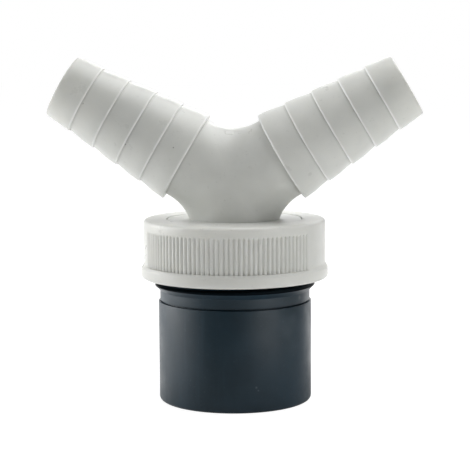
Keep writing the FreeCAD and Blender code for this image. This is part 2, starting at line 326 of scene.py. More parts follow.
class Graph:
    """A node tree, with short ways to add and join nodes."""

    def __init__(self, tree: bpy.types.NodeTree, place: str = "Object") -> None:
        """Take a node tree and empty it.

        Args:
            tree: a material's or a world's.
            place: the coordinates that its patterns follow.
        """
        self.tree = tree
        self.tree.nodes.clear()
        self.place = self.add("TexCoord").outputs[place]

    def add(self, kind: str, settings: dict | None = None, **inputs: object) -> bpy.types.Node:
        """Add a node.

        Args:
            kind: the node's type, without its ShaderNode start.
            settings: properties of the node itself.
            inputs: socket names with spaces as underscores, each a value or another's output.

        Returns:
            The new node.
        """
        node = self.tree.nodes.new("ShaderNode" + kind)
        for key, value in (settings or {}).items():
            setattr(node, key, value)
        self.fill(node, inputs)
        return node

    def fill(self, node: bpy.types.Node, inputs: dict[str, object]) -> None:
        """Feed a node's sockets by name, with underscores for spaces."""
        for key, value in inputs.items():
            self.feed(node.inputs[key.replace("_", " ")], value)

    def feed(self, socket: bpy.types.NodeSocket, value: object) -> None:
        """Set a socket to a value, or join it to another node's output.

        Args:
            socket: the input.
            value: a number, three numbers or an output. A colour is solid.
        """
        if isinstance(value, bpy.types.NodeSocket):
            self.tree.links.new(value, socket)
        elif socket.type == "RGBA":
            socket.default_value = (*value, 1.0)
        else:
            socket.default_value = value

    def joined(self, kind: str, *values: object, output: int | str = 0,
               **settings: object) -> bpy.types.NodeSocket:
        """Add a node and feed its inputs in their order.

        Args:
            kind: the node's type, without its ShaderNode start.
            values: what its inputs get, each a value or another's output.
            output: which of its outputs is wanted.
            settings: properties of the node itself.

        Returns:
            That output.
        """
        node = self.add(kind, settings)
        for socket, value in zip(node.inputs, values):
            self.feed(socket, value)
        return node.outputs[output]

    def maths(self, operation: str, *values: object) -> bpy.types.NodeSocket:
        """Work out one number from others by a Math node's operation."""
        return self.joined("Math", *values, operation=operation)

    def faded(self, value: bpy.types.NodeSocket, fade: Fade) -> bpy.types.NodeSocket:
        """Put a number through a fade."""
        return self.joined("MapRange", value, fade.low, fade.high, fade.start, fade.end,
                           interpolation_type="SMOOTHSTEP")

    def placed(self, value: bpy.types.NodeSocket, fade: Fade) -> bpy.types.NodeSocket:
        """Put a distance in metres through a fade whose low and high are in millimetres."""
        return self.faded(value, Fade(fade.low * METRE, fade.high * METRE, fade.start, fade.end))

    def noise(self, scale: float, detail: float, finer: float = 0.5,
              stretch: tuple[float, float, float] = (1.0, 1.0, 1.0)) -> bpy.types.NodeSocket:
        """Add noise.

        Args:
            scale: waves to the metre.
            detail: octaves.
            finer: the share that each finer octave keeps.
            stretch: scale along X, Y and Z.

        Returns:
            The noise, about 0.5.
        """
        mapped = self.add("Mapping", Vector=self.place, Scale=stretch)
        node = self.add("TexNoise", Vector=mapped.outputs[0], Scale=scale, Detail=detail,
                        Roughness=finer)
        return node.outputs[0]

    def waves(self, pattern: Pattern) -> bpy.types.NodeSocket:
        """Add a pattern's noise, without its fade."""
        return self.noise(pattern.scale, pattern.detail, pattern.finer, pattern.stretch)

    def patches(self, pattern: Pattern) -> bpy.types.NodeSocket:
        """Add a pattern's noise and put it through the pattern's fade."""
        return self.faded(self.waves(pattern), pattern.fade)

    def axes(self) -> list[bpy.types.NodeSocket]:
        """Split the place into its X, Y and Z."""
        return list(self.add("SeparateXYZ", Vector=self.place).outputs)

    def slanted(self, share: float) -> bpy.types.NodeSocket:
        """Add a share of the place's X to its Y."""
        east, north, _ = self.axes()
        return self.maths("MULTIPLY_ADD", east, share, north)

    def from_axis(self) -> bpy.types.NodeSocket:
        """Measure the distance from Z, in metres."""
        flat = self.joined("CombineXYZ", *self.axes()[:2])
        return self.joined("VectorMath", flat, output="Value", operation="LENGTH")

    def mixed(self, share: object, first: object, second: object,
              blend: Blend = Blend.COLOUR) -> bpy.types.NodeSocket:
        """Mix two colours or numbers.

        Args:
            share: how much of the second.
            first: a value or output.
            second: a value or output.
            blend: what they are.

        Returns:
            The mixed value's socket.
        """
        kind, start, output = blend.value
        node = self.add("Mix", {"data_type": kind})
        for number, value in ((0, share), (start, first), (start + 1, second)):
            self.feed(node.inputs[number], value)
        return node.outputs[output]

    def spotted(self, colour: bpy.types.NodeSocket, marks: tuple[Mark, ...], soft: float,
                spot_colour: tuple[float, float, float]) -> bpy.types.NodeSocket:
        """Mix a colour in at small round places, for stains and for patches of painted highlight.

        Args:
            colour: the colour so far.
            marks: the places.
            soft: the share of each one's radius over which it fades.
            spot_colour: the colour mixed in.

        Returns:
            The stained colour's socket.
        """
        for mark in marks:
            centre = tuple(METRE * value for value in mark.centre)
            away = self.joined("VectorMath", self.place, centre, output="Value",
                               operation="DISTANCE")
            spot = self.placed(away, Fade(mark.radius * (1 - soft), mark.radius, 1.0, 0.0))
            colour = self.mixed(self.maths("MULTIPLY", spot, mark.strength), colour, spot_colour)
        return colour


class Surface(Graph):
    """A new material with a principled shader."""

    def __init__(self, name: str) -> None:
        """Make the material and its shader.

        Args:
            name: the material's name.
        """
        self.material = bpy.data.materials.new(name)
        self.material.use_nodes = True
        super().__init__(self.material.node_tree)
        self.shader = self.add("BsdfPrincipled")
        self.add("OutputMaterial", Surface=self.shader.outputs[0])

    def rippled(self, ripples: tuple[Ripple, ...]) -> list[tuple[bpy.types.NodeSocket, float]]:
        """Give each ripple's noise and height, as finish takes them."""
        return [(self.noise(ripple.scale, ripple.detail), ripple.height) for ripple in ripples]

    def finish(self, relief: list[tuple[bpy.types.NodeSocket, float]],
               **inputs: object) -> bpy.types.Material:
        """Feed the shader, and bump it by heights.

        Args:
            relief: each a height and how far in millimetres one unit of it stands out.
            inputs: socket names with spaces as underscores, each a value or an output.

        Returns:
            The finished material.
        """
        self.fill(self.shader, inputs)
        normal = None
        for height, distance in relief:
            node = self.add("Bump", Height=height, Strength=1.0, Distance=distance * METRE)
            if normal is not None:
                self.feed(node.inputs["Normal"], normal)
            normal = node.outputs[0]
        self.feed(self.shader.inputs["Normal"], normal)
        return self.material


@dataclass(frozen=True)
class Rings:
    """The barbs' edges, in millimetres, with a painted highlight on each and painted shade in the
    corner beside it.

    An arm leans up by its slope from the wye's centre, which is a height. Its first edge lies at a
    distance along it, and the others follow at the pitch. The painted highlight's end and the
    painted shade's width are measured from an edge, and the highlight is made stronger on the right
    by X.
    """

    centre: float
    slope: float
    first: float
    pitch: float
    pale_and_highlight: Fade = Fade(0.2, 0.62, 1.0, 0.0)
    highlight_noise: Pattern = Pattern(240.0, Fade(0.30, 0.60, 0.60, 1.0))
    more_on_right: Fade = Fade(-10.0, 10.0, 0.75, 1.15)
    shade_width: float = 0.75
    corner_shade: float = 0.22

    def masks(self, graph: Graph) -> tuple[bpy.types.NodeSocket, bpy.types.NodeSocket]:
        """Mark the barbs' big ends for a painted highlight, stronger on the right arm, and the
        corners beside them for painted shade.

        The distance along the nearer arm is the size of X times the cosine of its slope plus the
        height over the centre times the sine. Less the first edge's distance, and modulo the
        pitch, it is the distance past an edge.

        Args:
            graph: the material to add it to.

        Returns:
            The painted highlight's mask and the painted shade's mask.
        """
        east, _, up = graph.axes()
        lean = math.radians(self.slope)
        across = graph.maths("MULTIPLY", graph.maths("ABSOLUTE", east), math.cos(lean))
        rise = graph.maths("SUBTRACT", up, self.centre * METRE)
        along = graph.maths("MULTIPLY_ADD", rise, math.sin(lean), across)
        past = graph.maths("FLOORED_MODULO", graph.maths("SUBTRACT", along, self.first * METRE),
                           self.pitch * METRE)
        on_arm = graph.placed(along, Fade(self.first - 1.0, self.first - 0.5))
        # painted highlight just past each edge, broken by noise and stronger on the right; painted
        # shade in the corner before the next edge
        highlight_noise = graph.maths("MULTIPLY", graph.patches(self.highlight_noise),
                           graph.placed(east, self.more_on_right))
        edge = graph.maths("MULTIPLY", graph.placed(past, self.pale_and_highlight), on_arm)
        corner = graph.placed(past, Fade(self.pitch - self.shade_width, self.pitch, 0.0, self.corner_shade))
        return graph.maths("MULTIPLY", edge, highlight_noise), graph.maths("MULTIPLY", corner, on_arm)


@dataclass(frozen=True)
class Gate:
    """The paler, slightly raised scar of the trimmed gate, in millimetres.

    It is a rectangle seen along Z: across is its X and back its Y.
    """

    across: tuple[float, float] = (-2.05, 0.15)
    back: tuple[float, float] = (-4.7, -3.4)
    soft: float = 0.15
    height: float = 0.12
    paler: float = 0.25

    def mask(self, graph: Graph) -> bpy.types.NodeSocket:
        """Mark the scar.

        Args:
            graph: the material to add it to.

        Returns:
            A number that is 1 in the scar and 0 outside.
        """
        mask = None
        for place, (low, high) in zip(graph.axes(), (self.across, self.back)):
            for fade in (Fade(low, low + self.soft), Fade(high - self.soft, high, 1.0, 0.0)):
                side = graph.placed(place, fade)
                mask = side if mask is None else graph.maths("MULTIPLY", mask, side)
        return mask


@dataclass(frozen=True)
class MouldedWhite:
    """Warm white plastic with a satin skin, faint clouds, specks of grime, painted shade in its
    grooves and corners, and painted highlights on its barb edges.

    The grooves' painted shade fades with the distance from Z and is stronger at their feet, by
    height, both in millimetres. Light gets a few millimetres deep into the plastic and comes out
    warmer.
    """

    name: str
    base: tuple[float, float, float] = (0.698, 0.706, 0.672)
    cloud: tuple[float, float, float] = (0.648, 0.658, 0.628)
    grime_and_painted_shade: tuple[float, float, float] = (0.270, 0.270, 0.250)
    pale_and_highlight: tuple[float, float, float] = (0.900, 0.905, 0.890)
    clouds: Pattern = Pattern(55.0, Fade(0.38, 0.68), 4.0, 0.6)
    grain: Pattern = Pattern(900.0, Fade(0.62, 0.78, 0.0, 0.18), 3.0, 0.6)
    sheen: Pattern = Pattern(140.0, Fade(0.3, 0.7, 0.27, 0.40), 5.0, 0.65)
    ripples: tuple[Ripple, ...] = (Ripple(260.0, 0.05), Ripple(2600.0, 0.012))
    depth_share: float = 0.35
    depth_tint: tuple[float, float, float] = (1.0, 0.95, 0.85)
    depth: float = 4.0
    index: float = 1.49
    marks: tuple[Mark, ...] = ()
    mark_soft: float = 0.5
    groove_shade: Fade | None = None
    groove_feet: Fade = Fade(35.9, 37.4, 4.0, 1.0)
    rings: Rings | None = None
    gate: Gate | None = None

    def build(self) -> bpy.types.Material:
        """Make the material.

        Returns:
            The finished material.
        """
        graph = Surface(self.name)
        colour = graph.mixed(graph.patches(self.clouds), self.base, self.cloud)
        colour = graph.mixed(graph.patches(self.grain), colour, self.grime_and_painted_shade)
        # painted shade deep in the nut's grooves, darkest at their closed feet
        if self.groove_shade is not None:
            colour = graph.mixed(self.in_grooves(graph), colour, self.grime_and_painted_shade)
        # painted shade in the corners beside the barb edges, and a painted highlight on the edges
        # themselves
        if self.rings is not None:
            edge, corner = self.rings.masks(graph)
            colour = graph.mixed(corner, colour, self.grime_and_painted_shade)
            colour = graph.mixed(edge, colour, self.pale_and_highlight)
        colour = graph.spotted(colour, self.marks, self.mark_soft, self.grime_and_painted_shade)
        relief = graph.rippled(self.ripples)
        if self.gate is not None:
            scar = self.gate.mask(graph)
            colour = graph.mixed(graph.maths("MULTIPLY", scar, self.gate.paler), colour, self.pale_and_highlight)
            relief.append((scar, self.gate.height))
        return graph.finish(
            relief, Base_Color=colour, Roughness=graph.patches(self.sheen), IOR=self.index,
            Subsurface_Weight=self.depth_share, Subsurface_Radius=self.depth_tint,
            Subsurface_Scale=self.depth * METRE)

    def in_grooves(self, graph: Graph) -> bpy.types.NodeSocket:
        """Grade the painted shade by the distance from Z, and deepen it at the grooves' closed
        feet.
        """
        return graph.maths("MULTIPLY", graph.placed(graph.from_axis(), self.groove_shade),
                           graph.placed(graph.axes()[2], self.groove_feet))


@dataclass(frozen=True)
class DarkPvc:
    """Dark blue-grey PVC with a soft gloss, faint flow streaks, light scuffs, a patch of painted
    highlight and a painted shadow on the thread.

    It is a little paler over the step. The thread is what lies above its cone, by height, and
    beyond the neck, by distance from Z, both in millimetres. There a near-black colour paints the
    nut's shadow, and the gloss is taken away to keep it dark.
    """

    name: str = "dark_pvc"
    base: tuple[float, float, float] = (0.0050, 0.0215, 0.0345)
    haze: tuple[float, float, float] = (0.0120, 0.0335, 0.0520)
    thread_shadow_paint: tuple[float, float, float] = (0.0025, 0.0045, 0.0060)
    pale_scuff_and_highlight: tuple[float, float, float] = (0.090, 0.116, 0.136)
    clouds: Pattern = Pattern(45.0, Fade(0.35, 0.70), 4.0, 0.55)
    streaks: Pattern = Pattern(420.0, Fade(0.52, 0.74, 0.0, 0.60), 3.0, 0.6, (1.0, 1.0, 0.05))
    dust: Pattern = Pattern(1500.0, Fade(0.64, 0.78, 0.0, 0.15), 2.0)
    sheen: Pattern = Pattern(120.0, Fade(0.3, 0.7, 0.30, 0.44), 5.0, 0.65)
    ripples: tuple[Ripple, ...] = (Ripple(150.0, 0.06), Ripple(2200.0, 0.006))
    streak_height: float = 0.008
    index: float = 1.50
    marks: tuple[Mark, ...] = ()
    mark_soft: float = 0.9
    over_step: Fade = Fade(26.6, 27.0, 0.0, 0.07)
    thread_above: Fade = Fade(30.34, 30.46)
    thread_beyond: Fade = Fade(19.66, 19.96, 0.0, 0.95)
    thread_gloss: Fade = Fade(0.0, 0.9, 0.50, 0.02)

    def build(self) -> bpy.types.Material:
        """Make the material.

        Returns:
            The finished material.
        """
        graph = Surface(self.name)
        colour = graph.mixed(graph.patches(self.clouds), self.base, self.haze)
        streaks = graph.waves(self.streaks)
        colour = graph.mixed(graph.faded(streaks, self.streaks.fade), colour, self.haze)
        colour = graph.mixed(graph.patches(self.dust), colour, self.pale_scuff_and_highlight)
        # scuffs, and on the spigot's right front a broad patch of painted highlight
        colour = graph.spotted(colour, self.marks, self.mark_soft, self.pale_scuff_and_highlight)
        height = graph.axes()[2]
        colour = graph.mixed(graph.placed(height, self.over_step), colour, self.pale_scuff_and_highlight)
        # near-black painted shadow of the nut on the thread's band, with its gloss taken away
        thread = graph.maths("MULTIPLY", graph.placed(height, self.thread_above),
                             graph.placed(graph.from_axis(), self.thread_beyond))
        colour = graph.mixed(thread, colour, self.thread_shadow_paint)
        relief = graph.rippled(self.ripples)
        relief.insert(1, (streaks, self.streak_height))
        return graph.finish(
            relief, Base_Color=colour, Roughness=graph.patches(self.sheen), IOR=self.index,
            Specular_IOR_Level=graph.faded(thread, self.thread_gloss))


@dataclass(frozen=True)
class SealRubber:
    """Black rubber, matt, with a dusty bloom."""

    name: str = "seal_rubber"
    base: tuple[float, float, float] = (0.012, 0.012, 0.012)
    bloom: tuple[float, float, float] = (0.040, 0.040, 0.042)
    clouds: Pattern = Pattern(300.0, Fade(0.4, 0.7), 4.0, 0.6)
    sheen: Pattern = Pattern(500.0, Fade(0.3, 0.7, 0.62, 0.85))
    ripples: tuple[Ripple, ...] = (Ripple(1200.0, 0.02, 3.0),)

    def build(self) -> bpy.types.Material:
        """Make the material.

        Returns:
            The finished material.
        """
        graph = Surface(self.name)
        colour = graph.mixed(graph.patches(self.clouds), self.base, self.bloom)
        return graph.finish(graph.rippled(self.ripples), Base_Color=colour,
                            Roughness=graph.patches(self.sheen))


@dataclass
class Fitting:
    """A piece of the fitting, with what every piece needs to be handed over."""

    name: str
    node: str
    body: Body
    slot: Slot

    def hand_over(self, piece: bpy.types.Object, material: bpy.types.Material) -> None:
        """Dress a piece and put it in the place of its solid.

        Args:
            piece: the finished mesh.
            material: what it is made of.
        """
        piece.data.materials.append(material)
        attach(piece, self.body.value)
        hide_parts(self.node)
        low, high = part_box(self.node)
        own = np.array([corner[:] for corner in piece.bound_box])
        LOG.info("%s stands in for %s: lows differ by %s mm, highs by %s mm", piece.name,
                 self.node, np.round((own.min(0) - low) / METRE, 2),
                 np.round((own.max(0) - high) / METRE, 2))


@dataclass(frozen=True)
class ScrewThread:
    """Right-hand G 1 1/4 thread, as a radius that depends on angle and height.

    Its vee is stretched by the steepness and cut flat at crest and root. The first crest begins
    at the start, and the run-in is in degrees from there.
    """

    pitch: float = 2.309
    pitch_radius: float = 20.2
    height: float = 1.48
    steepness: float = 1.18
    start_angle: float = 150.0
    start_height: float = 30.03
    run_in: float = 28.0
    cone_foot: float = 29.15

    def wave(self, angles: np.ndarray, heights: np.ndarray) -> np.ndarray:
        """Work out the thread's form at each point.

        The height above the start, less the angle from the start as a share of a turn, counts
        crests. What is left past the nearest whole number is the share of the pitch from that
        crest. The form is a vee with crest and root cut flat, eased by a sine.

        Args:
            angles: the columns' angles in radians.
            heights: the rows' heights.

        Returns:
            The form, from -1 at the root to 1 at the crest.
        """
        past = np.mod(angles - math.radians(self.start_angle), 2 * math.pi) / (2 * math.pi)
        count = (heights[:, None] - self.start_height) / self.pitch - past[None, :]
        vee = 1.0 - 4.0 * np.abs(count - np.round(count))
        return np.sin(np.clip(vee * self.steepness, -1.0, 1.0) * math.pi / 2)

    def outside(self, angles: np.ndarray, heights: np.ndarray, neck: float,
                top: float) -> np.ndarray:
        """Radius of the male thread: the pitch radius plus half the height times the form.

        Below the first crest it is the plain crest radius, cut by a 45 degree cone that rises
        from the neck. The groove above the first crest deepens over the run-in. A 45 degree bevel
        cuts the last turn at the top.

        Args:
            angles: the columns' angles.
            heights: the rows' heights.
            neck: radius under the thread.
            top: height of the thread's end.

        Returns:
            The radius, rows by columns.
        """
        form = self.wave(angles, heights)
        crest, root = self.pitch_radius + self.height / 2, self.pitch_radius - self.height / 2
        past = np.mod(np.degrees(angles) - self.start_angle, 360.0)[None, :]
        over = heights[:, None] - self.start_height - self.pitch * past / 360.0
        opened = np.where(over < self.pitch, smooth_step(past, 0.0, self.run_in), 1.0)
        radius = crest - np.where(over < 0, 0.0, opened) * self.height / 2 * (1.0 - form)
        radius = np.minimum(radius, neck + np.maximum(0.0, heights - self.cone_foot)[:, None])
        return np.minimum(radius, np.maximum(root, root + (top - heights)[:, None]))

    def inside(self, angles: np.ndarray, heights: np.ndarray, clearance: float) -> np.ndarray:
        """Radius of the female thread: the male one's full form, the clearance further out."""
        return self.pitch_radius + clearance + self.height / 2 * self.wave(angles, heights)


@dataclass
class Spigot(Fitting):
    """Plain end, step, run-out and male thread, bored right through.

    Over the step runs a fine groove, whose wall and whose slope end at heights over the step.
    """

    name: str = "threaded_waste_spigot"
    node: str = "threaded_spigot"
    body: Body = Body.SPIGOT
    slot: Slot = Slot.PVC
    radius: float = 20.0
    bore: float = 16.5
    step_height: float = 26.3
    neck: float = 19.6
    groove_depth: float = 0.50
    groove_wall: float = 0.18
    groove_slope: float = 0.30
    thread_foot: float = 28.3
    top: float = 40.7
    rim: float = 19.2
    thread: ScrewThread = ScrewThread()
    columns: int = 360
    first_row: float = 0.08
    row_step: float = 0.09
    # the five broad, faint marks on the right front paint a pale highlight patch; the three small
    # ones are scuffs
    marks: tuple[Mark, ...] = (
        Mark((15.0, -13.3, 21.6), 4.5, 0.16), Mark((15.7, -12.4, 23.3), 2.2, 0.10),
        Mark((14.2, -14.1, 19.7), 2.6, 0.08), Mark((15.2, -13.0, 16.4), 3.6, 0.10),
        Mark((10.0, -17.3, 21.0), 9.0, 0.15), Mark((6.5, -18.9, 6.7), 0.45, 0.65),
        Mark((7.0, -18.7, 5.9), 0.35, 0.60), Mark((17.2, -9.4, 28.24), 0.9, 0.5))

    def build(self) -> None:
        """Make the spigot as one grid, from the bore's top round the outside and back."""
        angles = ring_angles(self.columns)
        groove = self.neck - self.groove_depth
        low = rounded([(self.bore, 10.0, 0), (self.bore, 0.0, 0.25), (self.radius, 0.0, 1.0),
                       (self.radius, 12.0, 0), (self.radius, self.step_height, 0.12),
                       (groove, self.step_height, 0.04),
                       (groove, self.step_height + self.groove_wall, 0.04),
                       (self.neck, self.step_height + self.groove_slope, 0.1),
                       (self.neck, self.thread_foot, 0)])
        heights = np.arange(self.thread_foot + self.first_row, self.top - 0.001, self.row_step)
        radius = self.thread.outside(angles, heights, self.neck, self.top)
        mouth = rounded([(self.rim, self.top, 0), (self.bore, self.top, 0.25),
                         (self.bore, self.top - 8.0, 0)])
        skin = Skin()
        skin.add_grid(np.concatenate([
            turned(low, angles), polar(radius, heights[:, None], angles),
            turned(mouth, angles), turned(low[:1], angles)]))
        self.hand_over(skin.build(self.name), DarkPvc(marks=self.marks).build())


@dataclass
class Washer(Fitting):
    """Flat rubber washer between the spigot's rim and the wye's flange."""

    name: str = "rubber_flat_washer"
    node: str = "sealing_washer"
    body: Body = Body.WASHER
    slot: Slot = Slot.RUBBER
    inner: float = 16.0
    outer: float = 19.2
    foot: float = 40.7
    thickness: float = 2.0
    edge: float = 0.25

    def build(self) -> None:
        """Make the washer as a rounded rectangle turned about Z."""
        top = self.foot + self.thickness
        middle = (self.inner + self.outer) / 2
        section = rounded([(middle, self.foot, 0), (self.outer, self.foot, self.edge),
                           (self.outer, top, self.edge), (self.inner, top, self.edge),
                           (self.inner, self.foot, self.edge), (middle, self.foot, 0)])
        skin = Skin()
        skin.add_grid(turned(section, ring_angles(COLUMNS)))
        self.hand_over(skin.build(self.name), SealRubber().build())


@dataclass
class UnionNut(Fitting):
    """Nut with two groups of fine rounded ribs, a band at its mouth and a female thread.

    Its fine outside and coarse inside meet between two rings in each flat face: at two distances
    from the hole in the top, and at two radii in the foot. The head rows are heights over the
    grooves' heads, and the slope rows are distances out and down from the slope's top. Right
    under the lip, where two rings lie, a plain relief takes the thread's place. It gives way to
    the thread between two depths.
    """

    name: str = "ribbed_union_nut"
    node: str = "union_nut"
    body: Body = Body.NUT
    slot: Slot = Slot.WHITE
    foot: float = 32.4
    top: float = 47.7
    under_lip: float = 45.2
    hole: float = 17.7
    radius: float = 23.7
    skirt: float = 24.4
    skirt_top: float = 35.1
    slope_top: float = 36.2
    edge: float = 0.8
    mouth: float = 21.15
    groove_foot: float = 35.8
    groove_head: float = 45.2
    groove_depth: float = 0.42
    groove_half: float = 0.42
    groove_pitch: float = 3.0
    groove_count: int = 41
    group_start: float = 24.0
    easing: float = 0.08
    thread: ScrewThread = ScrewThread()
    clearance: float = 0.15
    row_step: float = 0.19
    relief: float = 20.9
    relief_depths: tuple[float, float] = (0.8, 1.8)
    under_rings: tuple[float, float] = (20.6, 20.86)
    top_rings: tuple[float, float] = (2.2, 2.4)
    foot_rings: tuple[float, float] = (22.2, 22.4)
    head_rows: tuple[float, ...] = (
        0.6, 0.29, 0.1, 0.0, -0.1, -0.2, -0.3, -0.4, -0.5, -0.7, -2.1, -4.2, -6.3, -7.8, -8.4)
    slope_rows: tuple[tuple[float, float], ...] = (
        (0.12, 0.19), (0.24, 0.38), (0.26, 0.41), (0.4, 0.63))
    skirt_row: float = 1.4
    plain_columns: int = 52
    far: float = 9.0
    inner_share: int = 4
    crisp: float = 40.0
    finish: MouldedWhite = MouldedWhite(
        name="moulded_white_nut", base=(0.718, 0.723, 0.686), cloud=(0.680, 0.687, 0.652),
        groove_shade=Fade(23.32, 23.60, 0.07, 0.0))

    def columns(self) -> tuple[np.ndarray, np.ndarray]:
        """Space the columns: fourteen to a groove, close together where it is deep.

        Returns:
            The angles in degrees, and each one's angle from its groove, or far if it has none.
        """
        share = np.array([-50, -42, -36, -30, -23, -15, -8, 0, 8, 15, 23, 30, 36, 42]) / 100
        offset = share * self.groove_pitch
        centres = self.group_start + self.groove_pitch * np.arange(self.groove_count)
        ribbed = (centres[:, None] + offset).ravel()
        own = np.tile(offset, self.groove_count)
        end = self.group_start + self.groove_pitch * (self.groove_count - 0.5)
        begin = self.group_start + 180.0 - self.groove_pitch / 2
        plain = np.linspace(end, begin, self.plain_columns, endpoint=False)
        half = np.concatenate([ribbed, plain])
        away = np.concatenate([own, np.full(len(plain), self.far)])
        return np.concatenate([half, half + 180.0]), np.tile(away, 2)

    def ribbed(self, profile: np.ndarray, away: np.ndarray) -> np.ndarray:
        """Cut the grooves into the profile's radius.

        A groove is a vee: its bottom radius plus its depth times the distance from its middle as
        a share of half its width. Near its head it rises at 45 degrees. The skin is the softened
        lower of the two radii: less the easing times the logarithm of the sum of their
        exponentials, each divided by the easing.

        Args:
            profile: radius and height of each row.
            away: each column's angle from its groove, in degrees.

        Returns:
            The radius, rows by columns.
        """
        plain, height = profile[:, 0, None], profile[:, 1, None]
        across = np.abs(np.radians(away)) * self.radius
        vee = self.radius - self.groove_depth * (1.0 - across[None, :] / self.groove_half)
        vee = vee + np.maximum(0.0, height - self.groove_head + self.groove_depth)
        cut = -self.easing * np.logaddexp(-plain / self.easing, -vee / self.easing)
        within = (height > self.groove_foot) & (height < self.groove_head + 0.3)
        return np.where(within, cut, np.broadcast_to(plain, cut.shape))

    def build(self) -> None:
        """Make the outside fine and the inside coarse, and join them in the flat faces."""
        degrees, away = self.columns()
        angles = np.radians(degrees)
        rows = [(self.hole + self.top_rings[1], self.top, 0), (self.radius, self.top, self.edge)]
        rows += [(self.radius, self.groove_head + rise, 0) for rise in self.head_rows]
        rows += [(self.radius, self.slope_top, 0.2)]
        rows += [(self.radius + out, self.slope_top - down, 0) for out, down in self.slope_rows]
        rows += [(self.skirt, self.skirt_top, 0.3), (self.skirt, self.foot + self.skirt_row, 0),
                 (self.skirt, self.foot, self.edge), (self.foot_rings[1], self.foot, 0)]
        outer = rounded(rows)
        skin = Skin()
        skirt = skin.add_grid(polar(self.ribbed(outer, away), outer[:, 1, None], angles))
        coarse = angles[::self.inner_share]
        rim = skin.add_grid(turned(self.rim_profile(), coarse))
        skin.add_step_down(skirt[0], rim[-1])
        skin.add_step_down(skirt[-1], self.threaded(skin, coarse))
        self.hand_over(skin.build(self.name, self.crisp), self.finish.build())

    def rim_profile(self) -> np.ndarray:
        """Outline of the lip, from under it, up through the hole and out on the flat top."""
        return rounded([(self.under_rings[0], self.under_lip, 0), (self.hole, self.under_lip, 0.1),
                        (self.hole, self.top, 0.18), (self.hole + self.top_rings[0], self.top, 0)])

    def threaded(self, skin: Skin, angles: np.ndarray) -> np.ndarray:
        """Add the inside, from under the lip down the female thread to the flat foot.

        The radius is the larger of the thread and a 45 degree cone at the mouth, and fades to a
        plain relief under the lip.

        Args:
            skin: what to add it to.
            angles: the columns' angles.

        Returns:
            The numbers of the ring in the foot.
        """
        heights = np.arange(self.under_lip - 0.05, self.foot, -self.row_step)
        radius = self.thread.inside(angles, heights, self.clearance)
        head, foot = (self.under_lip - depth for depth in self.relief_depths)
        share = smooth_step(heights, foot, head)[:, None]
        radius = radius * (1 - share) + self.relief * share
        cone = self.mouth - (heights - self.foot)[:, None]
        top = np.array([[ring, self.under_lip] for ring in self.under_rings])
        flat = rounded([(self.mouth, self.foot + 0.02, 0), (self.mouth + 0.1, self.foot, 0),
                        (self.foot_rings[0], self.foot, 0)])
        numbers = skin.add_grid(np.concatenate([
            turned(top, angles), polar(np.maximum(radius, cone), heights[:, None], angles),
            turned(flat, angles)]))
        return numbers[-1]


@dataclass(frozen=True)
class Branch:
    """One of the wye's three branches, and what lies on each side of it."""

    axis: tuple[float, float, float]
    towards: tuple[float, float, float]
    middles: tuple[tuple[float, float, float], tuple[float, float, float]]
    balls: tuple[float, float]


